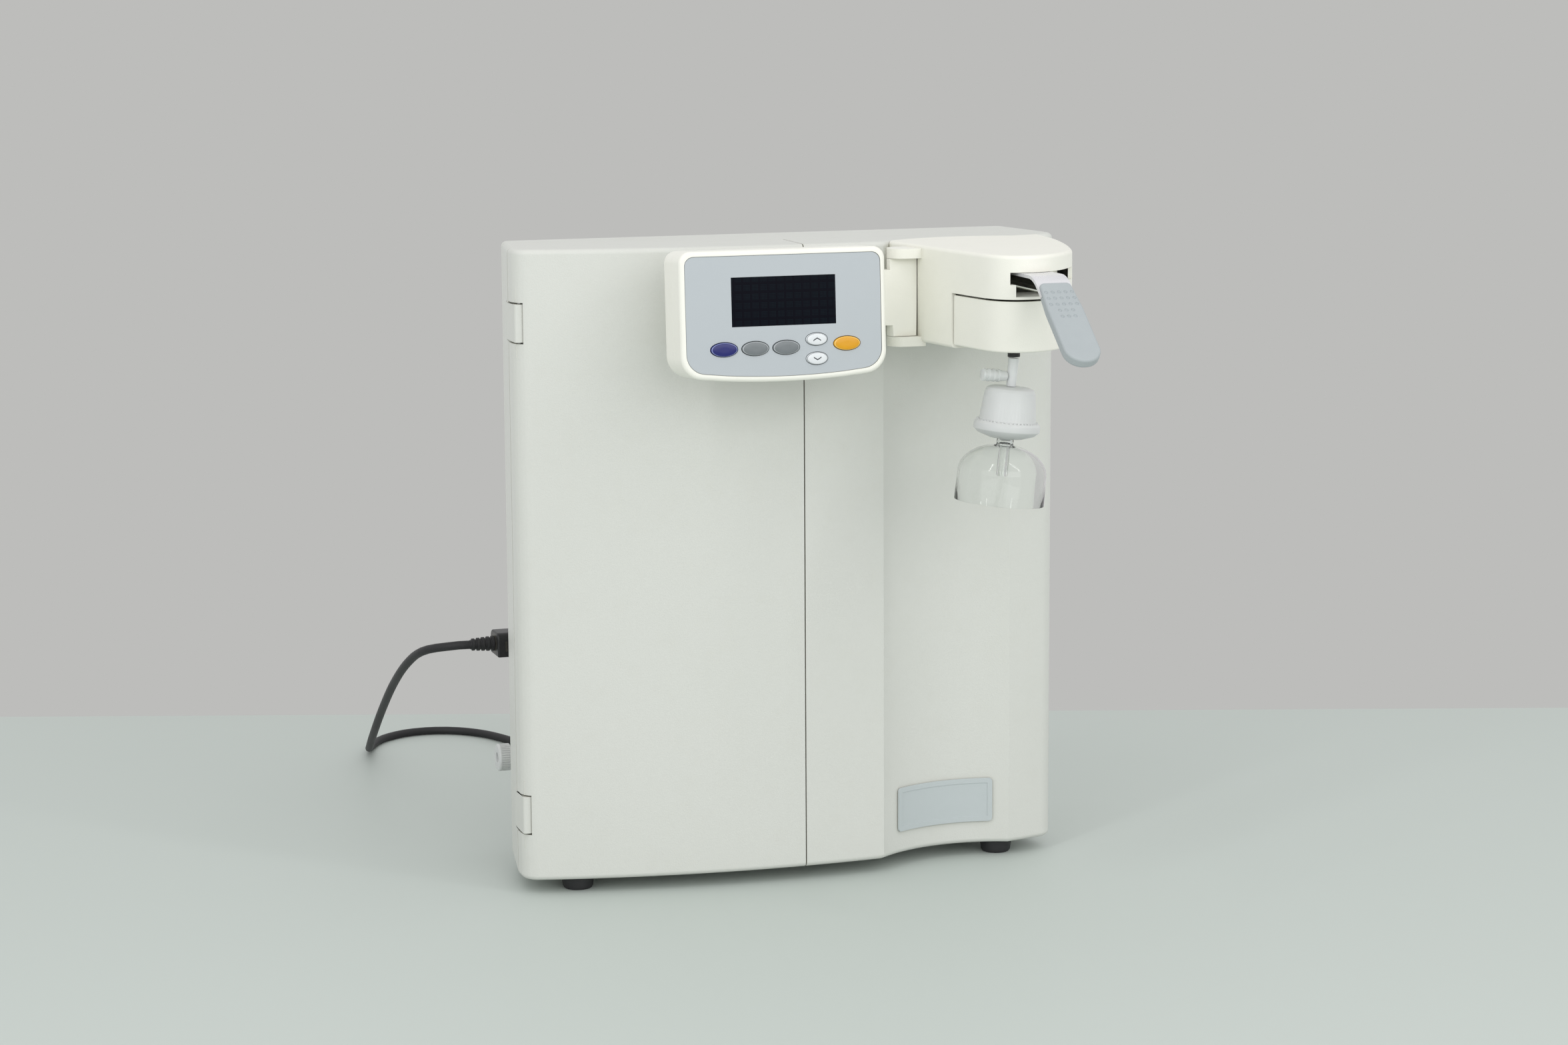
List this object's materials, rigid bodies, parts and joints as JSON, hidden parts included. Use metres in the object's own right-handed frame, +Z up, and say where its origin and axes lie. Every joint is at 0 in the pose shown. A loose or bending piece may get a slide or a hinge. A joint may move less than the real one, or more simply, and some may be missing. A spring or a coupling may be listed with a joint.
{
  "type": "ultrapure water system",
  "caption": "Bench water purifier: bow-fronted housing, hinged door over its cartridges, swivelling display with keys, dispensing head with press lever, final filter and clear filling bell.",
  "frame": {"origin": "centre of the bounding box at the feet's undersides, without the mains lead", "axes": "+Z up, the front and the dispensing head face -Y, the mains inlet is at -X"},
  "size_m": [0.4902, 0.8742, 0.5048],
  "materials": {
    "housing": "fine leather-like grain",
    "head": "fine grain, a little yellowed",
    "foil": "satin membrane",
    "window": "dark display window",
    "key_blue": "smooth",
    "key_grey": "smooth",
    "key_white": "smooth",
    "key_yellow": "smooth",
    "paddle": "soft overmoulded tongue",
    "strip": "smooth",
    "filter": "milky",
    "bell": "clear moulded plastic",
    "black": "moulded",
    "cord": "satin sheath",
    "foot": "moulded",
    "plate": "bare printed-label stock",
    "sheet_steel": "folded sheet",
    "pin_steel": "turned",
    "cartridge": "smooth",
    "cap": "smooth",
    "board": "coated laminate"
  },
  "bodies": {
    "housing": {"bay_divider": "sheet_steel", "cartridge_cap_left": "cap", "cartridge_cap_right": "cap", "cartridge_clip_lower": "black", "cartridge_clip_upper": "black", "cartridge_left": "cartridge", "cartridge_right": "cartridge", "chassis_plate": "sheet_steel", "data_plate": "plate", "dispense_block": "head", "dispense_valve": "filter", "feed_fitting": "filter", "feed_tube": "filter", "foot_front_left": "foot", "foot_front_right": "foot", "foot_rear_left": "foot", "foot_rear_right": "foot", "head_shell": "head", "hinge_pin_lower": "pin_steel", "hinge_pin_upper": "pin_steel", "inlet_socket": "black", "inlet_tube": "filter", "lever_carrier": "black", "lever_pin": "pin_steel", "link_tube": "filter", "main_board": "board", "mains_connector": "black", "mains_cord": "cord", "mains_cord_coil": "cord", "mains_plug": "black", "outlet_collar": "black", "pivot_pin": "pin_steel", "power_supply": "black", "product_tube": "filter", "pump_head": "black", "pump_motor": "pin_steel", "rear_housing": "housing", "right_front_shell": "housing", "service_cover": "housing", "strain_relief": "black"},
    "door": {"door": "housing", "door_catch": "sheet_steel"},
    "display": {"display_arm": "head", "display_back": "head", "display_bezel": "head", "display_board": "board", "display_window": "window", "keypad_foil": "foil"},
    "lever": {"lever_strip": "strip", "lever_paddle": "paddle"},
    "final_filter": {"outlet_nozzle": "filter", "filter_vent": "filter", "filter_capsule": "filter", "filling_bell": "bell"},
    "key_standby": {"key_standby": "key_blue"},
    "key_operate": {"key_operate": "key_grey"},
    "key_menu": {"key_menu": "key_grey"},
    "key_up": {"key_up": "key_white"},
    "key_down": {"key_down": "key_white"},
    "key_enter": {"key_enter": "key_yellow"}
  },
  "joints": [
    {"name": "door_hinge", "type": "hinge", "parent": "housing", "child": "door", "pos_m": [-0.214, 0.0745, 0.2505], "axis": [0, 0, -1], "range_deg": [0, 44]},
    {"name": "display_swivel", "type": "hinge", "parent": "housing", "child": "display", "pos_m": [0.068, 0.003, 0.4915], "axis": [0, 0, 1], "range_deg": [0, 46]},
    {"name": "lever_hinge", "type": "hinge", "parent": "housing", "child": "lever", "pos_m": [0.1275, -0.0685, 0.487], "axis": [1, 0, 0], "range_deg": [0, 9], "stiffness_Nm_per_rad": 2, "springref_deg": -3.44},
    {"name": "filter_pull", "type": "slide", "parent": "housing", "child": "final_filter", "axis": [-0.1045, 0, -0.9945], "range_m": [0, 0.03]},
    {"name": "key_standby_press", "type": "slide", "parent": "display", "child": "key_standby", "axis": [0, 0.9981, -0.0611], "range_m": [0, 0.0008], "stiffness_N_per_m": 600, "springref_m": -0.0006},
    {"name": "key_operate_press", "type": "slide", "parent": "display", "child": "key_operate", "axis": [0, 0.9981, -0.0611], "range_m": [0, 0.0008], "stiffness_N_per_m": 600, "springref_m": -0.0006},
    {"name": "key_menu_press", "type": "slide", "parent": "display", "child": "key_menu", "axis": [0, 0.9981, -0.0611], "range_m": [0, 0.0008], "stiffness_N_per_m": 600, "springref_m": -0.0006},
    {"name": "key_up_press", "type": "slide", "parent": "display", "child": "key_up", "axis": [0, 0.9981, -0.0611], "range_m": [0, 0.0008], "stiffness_N_per_m": 600, "springref_m": -0.0006},
    {"name": "key_down_press", "type": "slide", "parent": "display", "child": "key_down", "axis": [0, 0.9981, -0.0611], "range_m": [0, 0.0008], "stiffness_N_per_m": 600, "springref_m": -0.0006},
    {"name": "key_enter_press", "type": "slide", "parent": "display", "child": "key_enter", "axis": [0, 0.9981, -0.0611], "range_m": [0, 0.0008], "stiffness_N_per_m": 600, "springref_m": -0.0006}
  ],
  "couplings": [
    {"joint": "display_swivel", "follows": "door_hinge", "ratio": 1.0454}
  ]
}
